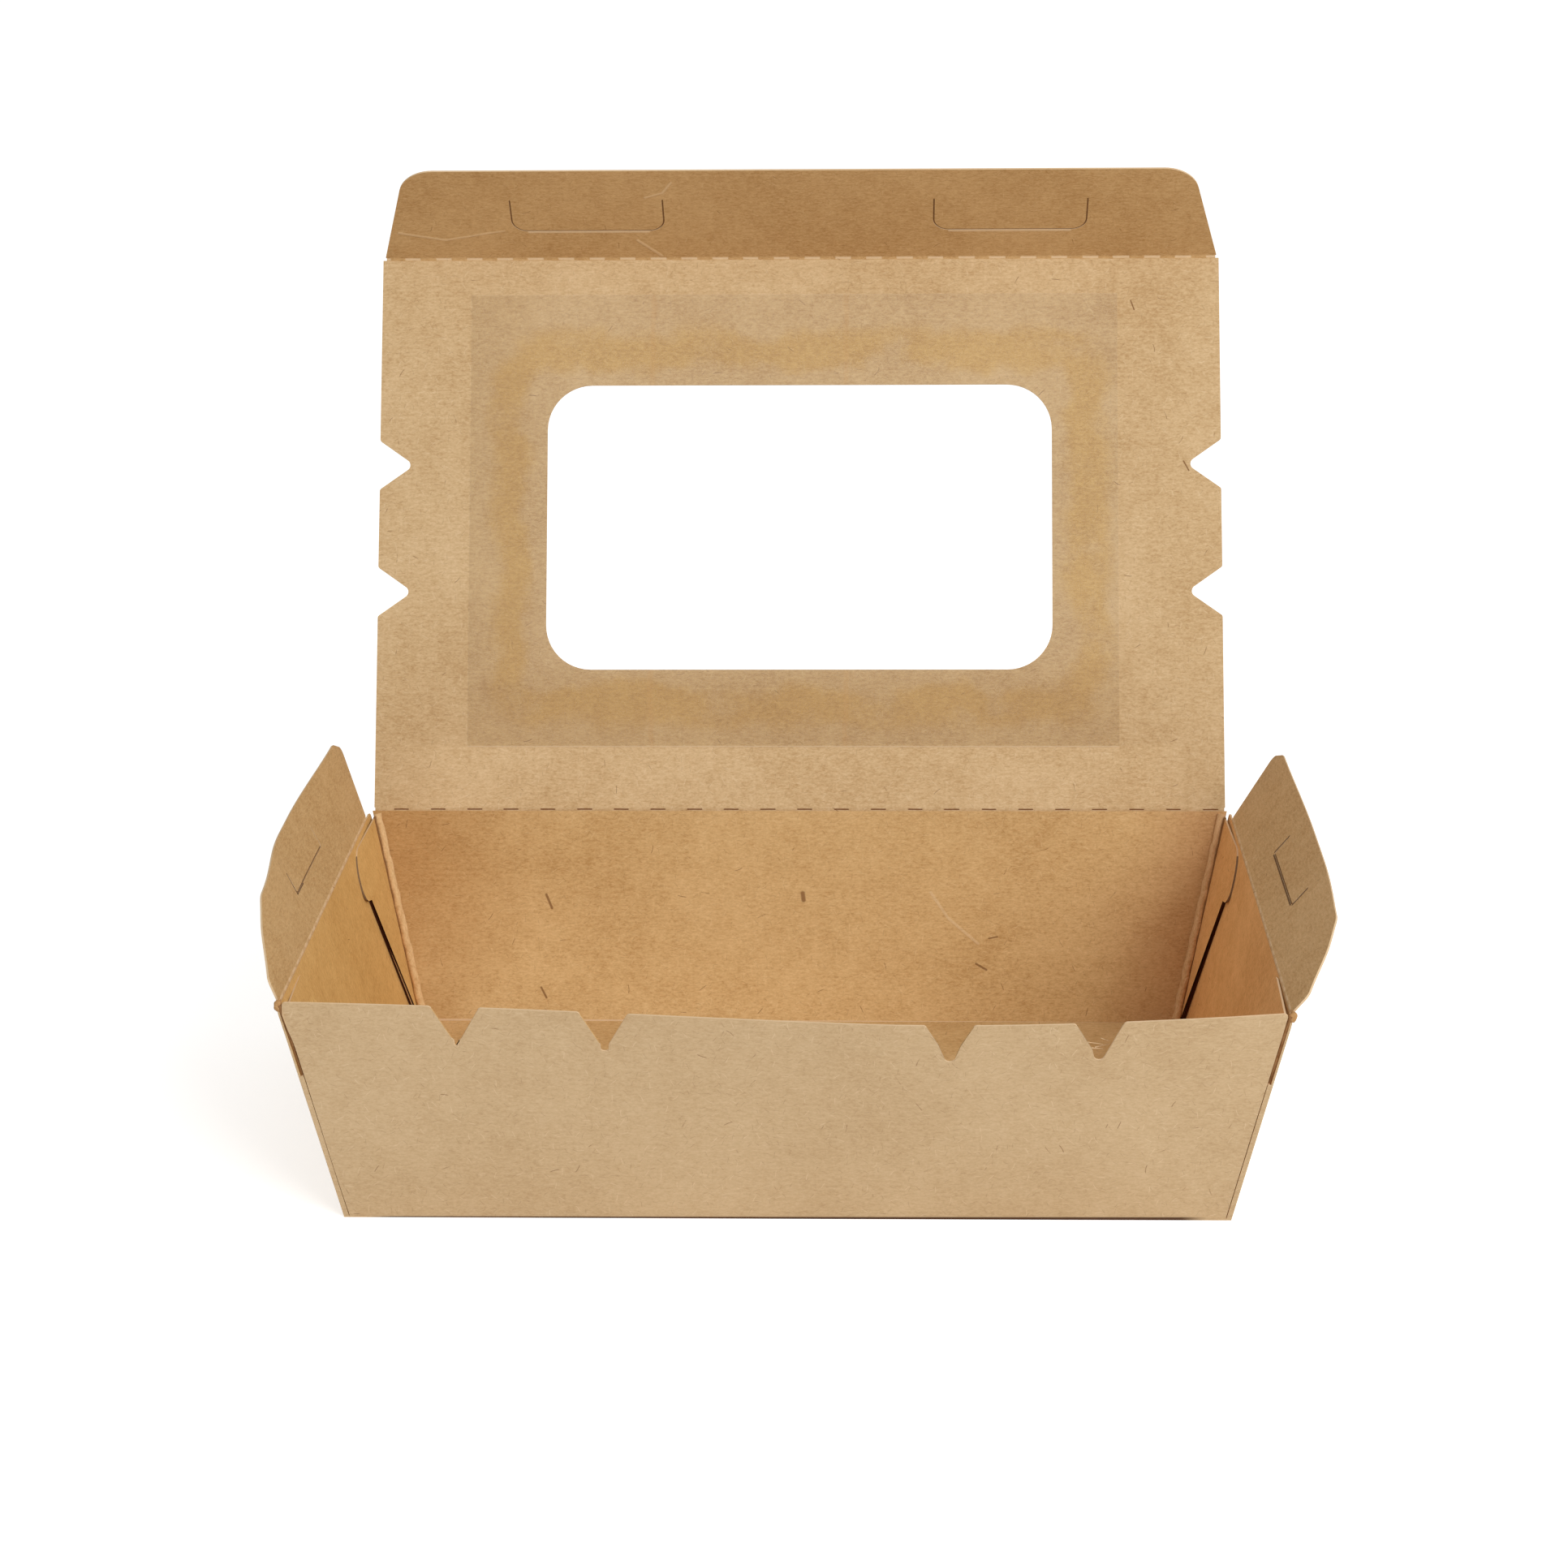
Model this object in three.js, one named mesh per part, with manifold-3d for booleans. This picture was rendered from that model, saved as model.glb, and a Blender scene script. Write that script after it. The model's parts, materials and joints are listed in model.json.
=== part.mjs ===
// Kraft takeaway box: one sheet of board, die-cut, creased and folded into a tray with a lid, and a clear film
// over the lid's window. Millimetres, +Z up, the front towards -Y, the origin under the middle of the bottom.
// The box stands open: its lid leans back, its tuck flap hangs forward and its side flaps are folded outwards.

import * as THREE from 'three';
import { mergeVertices } from 'three/addons/utils/BufferGeometryUtils.js';
import Module from 'manifold-3d';

const wasm = await Module();
wasm.setup();

// The board and its folds
const boardThickness = 0.42;
const layerGap = 0.2; // between the layers that are folded flat on each other at the corners
const foldGap = 0.4; // from a hinge's axis to the edge of each panel that turns on it
const cutWidth = 0.35; // a die cut through the board

// The tray
const baseWidth = 179.3;
const baseDepth = 112.3;
const trayHeight = 49.4; // up to the fold that the lid turns on
const wallFlare = 10.35; // how far each wall leans out over the tray's height
const frontDrop = 0.5; // the front wall's edge lies this far under the closed lid
const sideFlapDrop = 1.4; // the side flaps' folds lie this far under the lid's fold, so that they close under it

// The front wall's free edge bows outwards, most at this share of the way from its left end to its right
const frontBow = 4.8;
const frontBowPeak = 0.675;
const frontBowRise = 1.3; // how late the bow sets in on the way up the wall
const bowColumns = 32;
const bowRows = 6;
const bowMargin = 1;

// The front wall's two press-in tabs, each between two notches
const tabCentre = 50.4;
const tabWidth = 29.6;
const tabNotchWidth = 9.8;
const tabNotchDepth = 9.2;

// The webs and glue flaps at the four corners
const nickDrop = 13; // the nick between web and glue flap, down the end wall from the lid's fold
const webSeamDrop = 17.5; // how far down the end wall's edge the web starts to be joined to it
const glueFlapReach = 29.5;
const glueFlapDrop = 1.9; // its top edge under the lid's fold
const glueFlapRadius = 7;
const glueFlapHeel = 2.5;
const webBend = 0.8;

// The lid
const lidSideInset = 0.5; // each side edge of the lid inside the tray's corners
const lidTaper = 0.5; // how much nearer the middle each side edge is at the front fold
const lidFrontClearance = 1.0; // from the front wall's inner face to the fold, with the lid closed
const lidNotchCentres = [51.4, 81.6];
const lidNotchWidth = 11.6;
const lidNotchDepth = 8.2;
const windowWidth = 119;
const windowHeight = 67.7;
const windowStart = 32.9; // from the lid's fold
const windowRadius = 10.6;
const lidLean = 22; // degrees from upright

// The film
const filmThickness = 0.1;
const filmGap = 0.3; // the glue under it
const filmWidth = 152.8;
const filmHeight = 107.7;
const filmStart = 14.6; // from the lid's fold
const filmOffset = 1.4; // the film is glued on slightly to one side

// The tuck flap
const tuckInset = 0.6; // at the fold, inside the lid's side edge
const tuckTaper = 0.25; // inwards for each millimetre from the fold
const tuckLength = 30;
const tuckRadius = 8.5;
const tuckSlitCentre = 49.4;
const tuckSlitWidth = 36;
const tuckSlitStart = 9.6; // from the fold
const tuckSlitLength = 10.7;
const tuckSlitRadius = 3.7;
const tuckAngle = 62; // degrees from the lid's plane

// The side flaps, whose lengths run from the middle of the end wall
const sideFlapFront = 63.9;
const sideFlapBack = 60;
const sideFlapTip = 64.5;
const sideFlapWidth = 19.3;
const sideFlapSlant = 26; // how far back the slanting front edge starts at the free edge
const sideFlapNose = 5;
const sideSlitWidth = 34;
const sideSlitStart = 7.8;
const sideSlitLength = 4.8;
const sideSlitRadius = 1;
const leftFlapLean = 28; // degrees from upright, outwards
const rightFlapLean = 40;

const degree = Math.PI / 180;
const wallSlant = Math.hypot(trayHeight, wallFlare);
const flareAngle = Math.atan2(wallFlare, trayHeight);
const edgeLean = wallFlare / wallSlant;
const upTheWall = (height) => height * wallSlant / trayHeight;
const gussetDepth = 2 * (boardThickness + layerGap);
const endDistance = baseWidth / 2 + gussetDepth;
const rimHalfWidth = baseWidth / 2 + wallFlare;

// A closed outline through corners given as [x, y, radius], each rounded by an arc that is tangent to its sides.
function roundedPath(corners, path) {
  corners.forEach(([x, y, radius = 0], i) => {
    const [px, py] = corners[(i + corners.length - 1) % corners.length];
    const [nx, ny] = corners[(i + 1) % corners.length];
    const before = new THREE.Vector2(px - x, py - y).normalize();
    const after = new THREE.Vector2(nx - x, ny - y).normalize();
    const half = Math.acos(THREE.MathUtils.clamp(before.dot(after), -1, 1)) / 2;
    const reach = radius / Math.tan(half);
    const start = new THREE.Vector2(x, y).addScaledVector(before, reach);
    if (i === 0) path.moveTo(start.x, start.y);
    else path.lineTo(start.x, start.y);
    if (radius === 0) return;
    const middle = before.clone().add(after).normalize();
    const centre = new THREE.Vector2(x, y).addScaledVector(middle, radius / Math.sin(half));
    const end = new THREE.Vector2(x, y).addScaledVector(after, reach);
    const from = Math.atan2(start.y - centre.y, start.x - centre.x);
    const to = Math.atan2(end.y - centre.y, end.x - centre.x);
    const clockwise = before.cross(after) > 0;
    path.absarc(centre.x, centre.y, radius, from, to, clockwise);
  });
  path.closePath();
  return path;
}

const outline = (corners) => roundedPath(corners, new THREE.Shape());
const hole = (corners) => roundedPath(corners, new THREE.Path());
const mirrored = (corners) => corners.map(([x, y, radius]) => [-x, y, radius]).reverse();

// A flat panel of board between two depths along its own normal
function panel(shape, near, far, arcSteps = 6) {
  const settings = { depth: far - near, bevelEnabled: false, curveSegments: arcSteps };
  return new THREE.ExtrudeGeometry(shape, settings).translate(0, 0, near);
}

function toSolid(geometry) {
  geometry.deleteAttribute('normal');
  geometry.deleteAttribute('uv');
  const merged = mergeVertices(geometry, 1e-4);
  return new wasm.Manifold(new wasm.Mesh({
    numProp: 3,
    vertProperties: merged.attributes.position.array,
    triVerts: new Uint32Array(merged.index.array),
  }));
}

function toGeometry(solid) {
  const { vertProperties, triVerts } = solid.getMesh();
  const geometry = new THREE.BufferGeometry();
  geometry.setAttribute('position', new THREE.BufferAttribute(vertProperties, 3));
  geometry.setIndex(new THREE.BufferAttribute(triVerts, 1));
  return geometry;
}

// A frame whose X runs along a side of the tray, Y up the panel and Z outwards. turn is 0 for the front, 90 for
// the right, 180 for the back and -90 for the left.
function panelFrame(turn, distance, height, lean) {
  const frame = new THREE.Group();
  frame.rotation.set(Math.PI / 2 + lean, 0, turn * degree, 'ZYX');
  frame.position.set(Math.sin(turn * degree) * distance, -Math.cos(turn * degree) * distance, height);
  frame.updateMatrixWorld();
  return frame;
}

const wallFrame = (turn, distance) => panelFrame(turn, distance, 0, flareAngle);

// Where a fold's axis lies, on the wall's inner face: its distance from the middle of the tray, and its height
function foldAxis(baseDistance, upWall) {
  const point = new THREE.Vector3(0, upWall, -boardThickness);
  wallFrame(0, baseDistance).localToWorld(point);
  return { distance: -point.y, height: point.z };
}

const lidFold = foldAxis(baseDepth / 2, wallSlant);
const sideFold = foldAxis(endDistance, upTheWall(trayHeight - sideFlapDrop));
const lidLength = 2 * lidFold.distance - lidFrontClearance;

// Materials
const kraft = (colour) => new THREE.MeshStandardMaterial({ color: colour, roughness: 0.85, metalness: 0 });
const trayBoard = kraft('#b58a5c');
const lidBoard = kraft('#b98f62');
const flapBoard = kraft('#b08659');
const clearFilm = new THREE.MeshStandardMaterial({
  color: '#eef1f0',
  roughness: 0.1,
  metalness: 0,
  transparent: true,
  opacity: 0.35,
});

// A wall whose side edges spread with the tray's flare, up to a top edge given as corners from right to left
function wallOutline(baseHalf, topCorners) {
  return outline([[-baseHalf, 0], [baseHalf, 0], ...topCorners]);
}

function bottomPanel() {
  const x = endDistance;
  const y = baseDepth / 2;
  return toSolid(panel(outline([[-x, -y], [x, -y], [x, y], [-x, y]]), 0, boardThickness));
}

// How far the front wall stands out of its flat plane, along its normal
function frontBowAt(x, up) {
  const half = baseWidth / 2 + edgeLean * up;
  const share = THREE.MathUtils.clamp((x + half) / (2 * half), 0, 1);
  const along = Math.sin(Math.PI * share ** (Math.log(0.5) / Math.log(frontBowPeak)));
  return frontBow * along * Math.max(up / wallSlant, 0) ** frontBowRise;
}

// A sheet of board that follows the front wall's bow and reaches past the wall's outline on every side
function bowedSheet(halfWidth, height, margin) {
  const positions = [];
  for (const depth of [0, -boardThickness]) {
    for (let row = 0; row <= bowRows; row += 1) {
      const up = THREE.MathUtils.lerp(-margin, height + margin, row / bowRows);
      for (let column = 0; column <= bowColumns; column += 1) {
        const x = THREE.MathUtils.lerp(-halfWidth - margin, halfWidth + margin, column / bowColumns);
        positions.push(x, up, depth + frontBowAt(x, up));
      }
    }
  }
  const rowLength = bowColumns + 1;
  const outer = (column, row) => row * rowLength + column;
  const inner = (column, row) => outer(column, row) + rowLength * (bowRows + 1);
  const index = [];
  const quad = (a, b, c, d) => index.push(a, b, c, a, c, d);
  for (let row = 0; row < bowRows; row += 1) {
    for (let i = 0; i < bowColumns; i += 1) {
      quad(outer(i, row), outer(i + 1, row), outer(i + 1, row + 1), outer(i, row + 1));
      quad(inner(i, row), inner(i, row + 1), inner(i + 1, row + 1), inner(i + 1, row));
    }
    quad(outer(0, row + 1), inner(0, row + 1), inner(0, row), outer(0, row));
    quad(outer(bowColumns, row), inner(bowColumns, row), inner(bowColumns, row + 1), outer(bowColumns, row + 1));
  }
  for (let i = 0; i < bowColumns; i += 1) {
    quad(outer(i, 0), inner(i, 0), inner(i + 1, 0), outer(i + 1, 0));
    quad(outer(i + 1, bowRows), inner(i + 1, bowRows), inner(i, bowRows), outer(i, bowRows));
  }
  const geometry = new THREE.BufferGeometry();
  geometry.setAttribute('position', new THREE.Float32BufferAttribute(positions, 3));
  geometry.setIndex(index);
  return geometry;
}

// The front wall's notches have blunt, rounded tips, as the die leaves them
function frontWall() {
  const top = upTheWall(trayHeight - frontDrop);
  const half = baseWidth / 2 + edgeLean * top;
  const notches = [tabCentre + tabWidth / 2, tabCentre - tabWidth / 2];
  const corners = [...notches, ...notches.map((x) => -x).reverse()].flatMap((x) => [
    [x + tabNotchWidth / 2, top, 0.8],
    [x, top - tabNotchDepth, 1.1],
    [x - tabNotchWidth / 2, top, 0.8],
  ]);
  const shape = wallOutline(baseWidth / 2, [[half, top, 0.8], ...corners, [-half, top, 0.8]]);
  const cutter = onWall(0, baseDepth / 2, panel(shape, -boardThickness - bowMargin, frontBow + bowMargin));
  return onWall(0, baseDepth / 2, bowedSheet(half, top, bowMargin)).intersect(cutter);
}

function backWall() {
  const top = wallSlant - foldGap;
  const half = baseWidth / 2 + edgeLean * top;
  const shape = wallOutline(baseWidth / 2, [[half, top], [-half, top]]);
  return onWall(180, baseDepth / 2, panel(shape, -boardThickness, 0));
}

function endWall(turn) {
  const top = upTheWall(trayHeight - sideFlapDrop) - foldGap;
  const half = baseDepth / 2 + edgeLean * top;
  const shape = wallOutline(baseDepth / 2, [[half, top, 1.5], [-half, top, 1.5]]);
  return onWall(turn, endDistance, panel(shape, -boardThickness, 0));
}

function onWall(turn, distance, geometry) {
  return toSolid(geometry.applyMatrix4(wallFrame(turn, distance).matrixWorld));
}

// One corner, seen on the end wall's plane. Two layers of web lie inside the end wall. The inner one carries on
// upwards as the glue flap. They are joined to each other along the web's own fold, the inner layer to the front
// or back wall's edge, and the middle layer to the end wall's edge.
function cornerLayers(turn, side) {
  const place = (corners) => outline(side > 0 ? corners : mirrored(corners));
  const edgeAt = (up) => baseDepth / 2 + edgeLean * up;
  const halfWeb = (Math.PI / 2 - 2 * Math.atan(edgeLean)) / 2;
  const foldSlope = Math.tan(halfWeb - Math.atan(edgeLean));
  const foot = [baseDepth / 2, 0];
  const webHeight = wallSlant - nickDrop;
  const seamHeight = wallSlant - webSeamDrop;
  const nick = [baseDepth / 2 - foldSlope * webHeight, webHeight];
  const seamTop = [edgeAt(seamHeight), seamHeight];
  const flapTop = upTheWall(trayHeight - glueFlapDrop);
  const flapEnd = edgeAt(flapTop) - glueFlapReach;
  const layer = boardThickness + layerGap;
  const inner = place([
    foot,
    [edgeAt(flapTop), flapTop],
    [flapEnd, flapTop, glueFlapRadius],
    [flapEnd, webHeight + 1, glueFlapHeel],
    nick,
  ]);
  const middle = place([foot, seamTop, nick]);
  const innerBend = place([foot, [nick[0] + webBend, nick[1]], nick]);
  const edgeBend = place([foot, seamTop, [seamTop[0] - webBend, seamTop[1]]]);
  return [
    panel(inner, -2 * layer - boardThickness, -2 * layer),
    panel(middle, -layer - boardThickness, -layer),
    panel(innerBend, -2 * layer - boardThickness, -layer),
    panel(edgeBend, -layer - boardThickness, 0),
  ].map((geometry) => onWall(turn, endDistance, geometry));
}

function tray() {
  const parts = [bottomPanel(), frontWall(), backWall()];
  for (const turn of [90, -90]) {
    parts.push(endWall(turn));
    for (const side of [1, -1]) parts.push(...cornerLayers(turn, side));
  }
  return toGeometry(parts.reduce((whole, part) => whole.add(part)));
}

// The lid, from its fold at Y 0 to the tuck flap's fold
function lidPanel() {
  const half = rimHalfWidth - lidSideInset;
  const edgeAt = (up) => half - lidTaper * up / lidLength;
  const rightNotches = lidNotchCentres.flatMap((up) => [
    [edgeAt(up), up - lidNotchWidth / 2, 0.8],
    [edgeAt(up) - lidNotchDepth, up, 1.4],
    [edgeAt(up), up + lidNotchWidth / 2, 0.8],
  ]);
  const rightSide = [[half, foldGap], ...rightNotches, [edgeAt(lidLength), lidLength - foldGap]];
  const shape = outline([...rightSide, ...mirrored(rightSide)]);
  const x = windowWidth / 2;
  const windowEnd = windowStart + windowHeight;
  shape.holes.push(hole([
    [-x, windowStart, windowRadius],
    [x, windowStart, windowRadius],
    [x, windowEnd, windowRadius],
    [-x, windowEnd, windowRadius],
  ]));
  return panel(shape, 0, boardThickness);
}

function windowFilm() {
  const left = filmOffset - filmWidth / 2;
  const right = filmOffset + filmWidth / 2;
  const end = filmStart + filmHeight;
  const shape = outline([[left, filmStart], [right, filmStart], [right, end], [left, end]]);
  return panel(shape, -filmGap - filmThickness, -filmGap);
}

// A three-sided cut, open away from the fold
function slit(centre, width, start, length, radius) {
  const x = width / 2;
  const end = start + length;
  const within = Math.max(radius - cutWidth, 0);
  return hole([
    [centre - x, end],
    [centre - x, start, radius],
    [centre + x, start, radius],
    [centre + x, end],
    [centre + x - cutWidth, end],
    [centre + x - cutWidth, start + cutWidth, within],
    [centre - x + cutWidth, start + cutWidth, within],
    [centre - x + cutWidth, end],
  ]);
}

function tuckFlap() {
  const half = rimHalfWidth - lidSideInset - lidTaper - tuckInset;
  const endHalf = half - tuckTaper * tuckLength;
  const shape = outline([
    [-half, foldGap],
    [half, foldGap],
    [endHalf, tuckLength, tuckRadius],
    [-endHalf, tuckLength, tuckRadius],
  ]);
  for (const centre of [-tuckSlitCentre, tuckSlitCentre]) {
    shape.holes.push(slit(centre, tuckSlitWidth, tuckSlitStart, tuckSlitLength, tuckSlitRadius));
  }
  return panel(shape, 0, boardThickness);
}

// A side flap, with the tray's back towards +X
function sideFlap(towards) {
  const corners = [
    [-sideFlapFront, foldGap],
    [sideFlapBack, foldGap],
    [sideFlapTip, sideFlapWidth - 2.5, 2],
    [sideFlapTip - 6, sideFlapWidth, 3],
    [sideFlapSlant - sideFlapFront, sideFlapWidth - 0.8, 8],
    [-sideFlapFront, sideFlapNose, 2],
  ];
  const shape = outline(towards > 0 ? corners : mirrored(corners));
  shape.holes.push(slit(0, sideSlitWidth, sideSlitStart, sideSlitLength, sideSlitRadius));
  return panel(shape, 0, boardThickness);
}

function named(name, geometry, material) {
  const mesh = new THREE.Mesh(geometry, material);
  mesh.name = name;
  return mesh;
}

const box = new THREE.Group();
box.name = 'kraft_takeaway_box';
box.add(named('tray', tray(), trayBoard));

const lid = panelFrame(180, lidFold.distance, lidFold.height, lidLean * degree);
lid.add(named('lid_panel', lidPanel(), lidBoard));
lid.add(named('window_film', windowFilm(), clearFilm));

const tuck = new THREE.Group();
tuck.position.set(0, lidLength, 0);
tuck.rotation.x = -tuckAngle * degree;
tuck.add(named('tuck_flap', tuckFlap(), flapBoard));
lid.add(tuck);
box.add(lid);

const rightFlap = panelFrame(90, sideFold.distance, sideFold.height, rightFlapLean * degree);
rightFlap.add(named('right_side_flap', sideFlap(1), flapBoard));
box.add(rightFlap);

const leftFlap = panelFrame(-90, sideFold.distance, sideFold.height, leftFlapLean * degree);
leftFlap.add(named('left_side_flap', sideFlap(-1), flapBoard));
box.add(leftFlap);

export default box;
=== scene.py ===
import json
import math

import bmesh
import bpy
from mathutils import Matrix, Vector


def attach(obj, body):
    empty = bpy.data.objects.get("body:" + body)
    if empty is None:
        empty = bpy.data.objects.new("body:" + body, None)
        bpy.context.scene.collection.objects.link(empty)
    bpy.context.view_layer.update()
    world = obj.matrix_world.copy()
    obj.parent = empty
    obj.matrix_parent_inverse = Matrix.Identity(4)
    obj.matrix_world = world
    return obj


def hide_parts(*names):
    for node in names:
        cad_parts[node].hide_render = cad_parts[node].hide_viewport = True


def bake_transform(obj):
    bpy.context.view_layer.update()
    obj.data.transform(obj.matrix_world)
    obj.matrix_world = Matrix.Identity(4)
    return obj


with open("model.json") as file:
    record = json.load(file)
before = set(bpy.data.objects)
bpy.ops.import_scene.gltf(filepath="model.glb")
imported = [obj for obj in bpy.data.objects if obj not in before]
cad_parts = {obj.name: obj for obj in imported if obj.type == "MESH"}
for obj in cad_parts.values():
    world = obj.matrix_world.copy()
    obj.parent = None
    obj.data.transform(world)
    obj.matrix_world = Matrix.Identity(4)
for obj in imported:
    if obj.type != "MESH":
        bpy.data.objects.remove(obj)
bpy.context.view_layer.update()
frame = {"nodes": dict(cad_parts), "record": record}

mm = 0.001
flare = 0.2095  # each wall leans outwards by this share of its height
slope = 1.022  # a wall's length up its face, for each millimetre of height
joints = {joint["name"]: joint for joint in frame["record"]["behaviour"]["joints"]}
print("loaded", len(frame["nodes"]), "nodes")

# Camera, as the photo was taken
view = {
    "place": (19.8 * mm, -721.6 * mm, 297.2 * mm),
    "turn": -1.68,  # degrees, towards +X
    "down": 17.04,
    "roll": -0.47,
    "angle": 25.03,  # across the whole square picture
}


def makeCamera():
    data = bpy.data.cameras.new("photoCamera")
    data.sensor_fit = "HORIZONTAL"
    data.angle = math.radians(view["angle"])
    data.clip_start = 0.01
    camera = bpy.data.objects.new("photoCamera", data)
    turn, down, roll = (math.radians(view[key]) for key in ("turn", "down", "roll"))
    looks = Vector((math.sin(turn) * math.cos(down), math.cos(turn) * math.cos(down), -math.sin(down)))
    right = Vector((math.cos(turn), -math.sin(turn), 0))
    up = right.cross(looks)
    across = math.cos(roll) * right + math.sin(roll) * up
    upright = math.cos(roll) * up - math.sin(roll) * right
    axes = Matrix((across, upright, -looks)).transposed().to_4x4()
    camera.matrix_world = Matrix.Translation(view["place"]) @ axes
    bpy.context.collection.objects.link(camera)
    bpy.context.scene.camera = camera


makeCamera()
print("camera set")


# A socket that can be added, multiplied and so on
class Sock:
    def __init__(self, maker, socket):
        self.maker = maker
        self.socket = socket

    def math(self, operation, *others):
        return self.maker.add("ShaderNodeMath", {"operation": operation}, [self, *others])

    def __add__(self, other):
        return self.math("ADD", other)

    def __mul__(self, other):
        return self.math("MULTIPLY", other)

    def __sub__(self, other):
        return self.math("SUBTRACT", other)

    def __rsub__(self, other):
        return self.math("MULTIPLY", -1).math("ADD", other)

    def __truediv__(self, other):
        return self.math("DIVIDE", other)

    __radd__ = __add__
    __rmul__ = __mul__

    def step(self, low, high):  # 0 below low, 1 above high, smooth between
        node = {"interpolation_type": "SMOOTHSTEP"}
        return self.maker.add("ShaderNodeMapRange", node, {0: self, 1: low, 2: high, 3: 0.0, 4: 1.0})


class Finish:
    def __init__(self, name):
        self.material = bpy.data.materials.new(name)
        self.material.use_nodes = True
        self.tree = self.material.node_tree
        self.surface = self.tree.nodes["Principled BSDF"]

    # Adds a node: its settings first, then the values or links of its sockets
    def add(self, kind, settings=None, values=(), out=0):
        node = self.tree.nodes.new(kind)
        for key, value in (settings or {}).items():
            if key == "stops":
                ramp = node.color_ramp
                while len(ramp.elements) < len(value):
                    ramp.elements.new(0.5)
                for element, (place, colour) in zip(ramp.elements, value):
                    element.position = place
                    element.color = (*colour, 1)
            else:
                setattr(node, key, value)
        pairs = values.items() if isinstance(values, dict) else enumerate(values)
        for key, value in pairs:
            self.link(value, node.inputs[key])
        return Sock(self, node.outputs[out])

    def link(self, value, socket):
        if isinstance(value, Sock):
            self.tree.links.new(value.socket, socket)
        else:
            socket.default_value = value

    def set(self, name, value):
        self.link(value, self.surface.inputs[name])

    def surfaceOut(self):
        return Sock(self, self.surface.outputs[0])

    def noise(self, vector, scale, detail=2.0, roughness=0.5):
        values = {"Vector": vector, "Scale": scale, "Detail": detail, "Roughness": roughness}
        return self.add("ShaderNodeTexNoise", {"noise_dimensions": "3D"}, values)

    def stretched(self, vector, scale, move=(0.0, 0.0, 0.0)):
        values = {"Vector": vector, "Location": move, "Scale": scale}
        return self.add("ShaderNodeMapping", {"vector_type": "POINT"}, values)

    def mix(self, amount, first, second, blend="MIX"):
        node = {"data_type": "RGBA", "blend_type": blend}
        return self.add("ShaderNodeMix", node, {0: amount, 6: first, 7: second}, out=2)

    def attribute(self, name):
        return self.add("ShaderNodeAttribute", {"attribute_name": name}, out=2)


def srgb(red, green, blue):  # a colour as a picture program names it, 0 to 255
    shares = [level / 255 for level in (red, green, blue)]
    return tuple(((share + 0.055) / 1.055) ** 2.4 if share > 0.04 else share / 12.92 for share in shares)


# Kraft board: cloudy tone, streaks along the sheet's grain, loose fibres dark and light
kraft = {
    "light": srgb(222, 190, 148),
    "middle": srgb(208, 174, 130),
    "dark": srgb(188, 150, 104),
    "outer": srgb(186, 165, 134),  # the outer face is a little greyer
    # cut edges: the raw edge's own colour, lightened further as a painted highlight along the rim
    "rawEdgeAndHighlight": srgb(226, 199, 163),
    "gap": srgb(62, 26, 8),  # seen where one layer shades another
    "darkFibre": srgb(120, 78, 42),
    # light fibres, also used for painted highlights on raised edges and beads
    "lightFibreAndHighlight": srgb(232, 206, 170),
    "roughness": 0.82,
    "specular": 0.18,
    "bump": 0.38,
    "darkFibres": (5.5, 2.4, 0.11, 0.24, 0.0),  # cell size, length, width, share of the cells, shift
    "fineFibres": (2.1, 1.5, 0.07, 0.5, 7.3),
    "lightFibres": (3.1, 1.9, 0.09, 0.45, 3.9),
    "cloudScale": 0.03,  # scales and stretches are per millimetre of the sheet
    "mottleScale": 0.2,
    "grainStretch": (0.6, 1.5, 1),
    "fineStretch": (1.6, 3.4, 1),
}


# One thin fibre in each cell of a Voronoi pattern, turned at random, and only in some of the cells
def fibres(finish, sheet, cellSize, length, width, share, shift):
    cells = finish.stretched(sheet, (1 / cellSize, 1 / cellSize, 0), move=(shift, shift * 0.7, 0))
    values = {"Vector": cells, "Scale": 1.0, "Randomness": 1.0}
    voronoi = finish.add("ShaderNodeTexVoronoi", {"voronoi_dimensions": "2D"}, values)
    node = voronoi.socket.node
    colour = Sock(finish, node.outputs["Color"])
    middle = Sock(finish, node.outputs["Position"])
    offset = finish.add("ShaderNodeVectorMath", {"operation": "SUBTRACT"}, [cells, middle])
    random = [finish.add("ShaderNodeSeparateColor", {}, [colour], out=i) for i in range(3)]
    turn = {"Vector": offset, "Angle": random[0] * 6.28}
    turned = finish.add("ShaderNodeVectorRotate", {"rotation_type": "Z_AXIS"}, turn)
    x = finish.add("ShaderNodeSeparateXYZ", {}, [turned], out=0) * (cellSize / length)
    y = finish.add("ShaderNodeSeparateXYZ", {}, [turned], out=1) * cellSize
    curve = y + x * x * (random[2] - 0.5) * (length * 0.8)  # a slight bend
    thickness = curve.math("ABSOLUTE") * (1 / width)
    body = 1 - (thickness.math("MAXIMUM", x.math("ABSOLUTE") * 2)).step(0.6, 1.0)
    return body * random[1].step(1 - share, 1 - share + 0.02)


# A mark between two places on the sheet, in millimetres: 1 on the line, 0 past its width
def stroke(finish, place, start, end, width):
    a = Vector((*start, 0))
    b = Vector((*end, 0))
    along = (b - a).normalized()
    length = (b - a).length
    fromStart = finish.add("ShaderNodeVectorMath", {"operation": "SUBTRACT"}, [place, a])
    t = finish.add("ShaderNodeVectorMath", {"operation": "DOT_PRODUCT"}, [fromStart, along], out=1)
    t = finish.add("ShaderNodeClamp", {}, [t, 0.0, length])
    nearest = finish.add("ShaderNodeVectorMath", {"operation": "SCALE"}, {0: along, 3: t})
    gap = finish.add("ShaderNodeVectorMath", {"operation": "SUBTRACT"}, [fromStart, nearest])
    distance = finish.add("ShaderNodeVectorMath", {"operation": "LENGTH"}, [gap], out=1)
    return 1 - distance.step(width * 0.4, width)


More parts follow.
